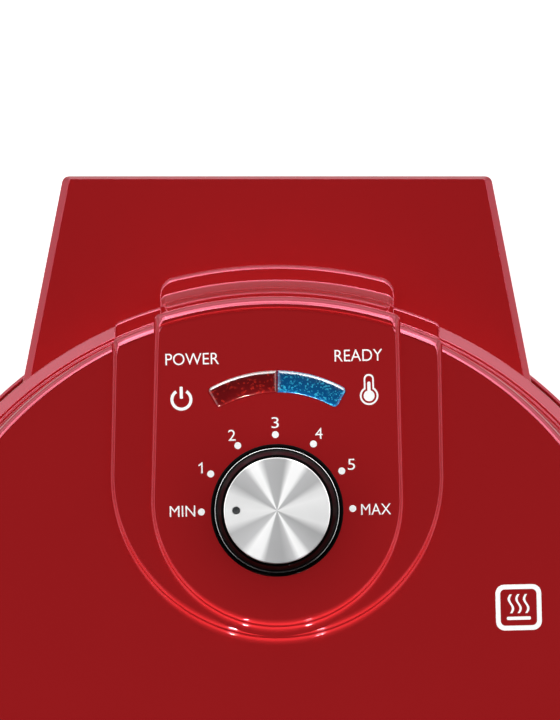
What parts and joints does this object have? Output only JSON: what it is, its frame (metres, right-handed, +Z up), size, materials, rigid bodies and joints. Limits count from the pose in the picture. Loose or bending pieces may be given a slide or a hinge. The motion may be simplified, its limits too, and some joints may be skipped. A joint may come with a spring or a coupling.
{
  "type": "waffle iron",
  "caption": "Round glossy waffle iron: hinged domed lid with thermostat dial and lamp windows over a rimmed base, non-stick grid plates, rear hinge block and front handle.",
  "frame": {"origin": "middle of the footprint of the closed object, on the surface that its feet stand on", "axes": "+Z up, +Y towards the hinge, -Y towards the handle, +X to the right of a user who faces the handle side"},
  "size_m": [0.2268, 0.308, 0.1041],
  "materials": {
    "shell_red": "high gloss moulded plastic, deep red",
    "panel_red": "high gloss moulded plastic, deep red",
    "black_plastic": "fine matte texture",
    "handle_black": "heat-proof satin black",
    "foot_rubber": "matte rubber",
    "nonstick_plate": "dark non-stick coating on an aluminium casting",
    "heater_steel": "dull steel sheath",
    "shield_aluminium": "bright pressed sheet",
    "screw_steel": "zinc plated",
    "white_sleeve": "white heat-proof insulation",
    "lamp_clear": "clear lamp",
    "lens_red": "translucent dark red, crowned",
    "lens_blue": "translucent blue, crowned",
    "copper_brass": "plain metal",
    "dial_black": "gloss black",
    "dial_chrome": "polished",
    "dial_aluminium": "spun finish"
  },
  "bodies": {
    "base": {"base_shell": "shell_red", "bottom_cover": "black_plastic", "bottom_cover_screws": "screw_steel", "rubber_feet": "foot_rubber", "lower_waffle_plate": "nonstick_plate", "lower_heating_element": "heater_steel", "lower_heat_shield": "shield_aluminium", "lower_plate_screws": "screw_steel", "lower_handle": "handle_black", "hinge_pins": "screw_steel", "wire_conduit": "white_sleeve", "cord_inlet": "black_plastic", "terminal_block": "white_sleeve", "thermal_fuse": "white_sleeve"},
    "lid": {"lid_shell": "shell_red", "control_panel": "panel_red", "control_panel_screws": "screw_steel", "power_lens": "lens_red", "ready_lens": "lens_blue", "lamp_holder": "black_plastic", "power_lamp": "lamp_clear", "ready_lamp": "lamp_clear", "thermostat_body": "heater_steel", "thermostat_bracket": "shield_aluminium", "thermostat_sensor": "copper_brass", "upper_waffle_plate": "nonstick_plate", "upper_heating_element": "heater_steel", "upper_heat_shield": "shield_aluminium", "upper_plate_screws": "screw_steel", "upper_handle": "handle_black"},
    "dial": {"thermostat_shaft": "screw_steel", "dial_body": "dial_black", "dial_ring": "dial_chrome", "dial_cap": "dial_aluminium"}
  },
  "joints": [
    {"name": "lid_hinge", "type": "hinge", "parent": "base", "child": "lid", "pos_m": [0, 0.141, 0.046], "axis": [-1, 0, 0], "range_deg": [0, 100]},
    {"name": "dial_turn", "type": "hinge", "parent": "lid", "child": "dial", "pos_m": [0, 0.0619, 0.095], "axis": [0, 0, -1], "range_deg": [0, 180]}
  ]
}
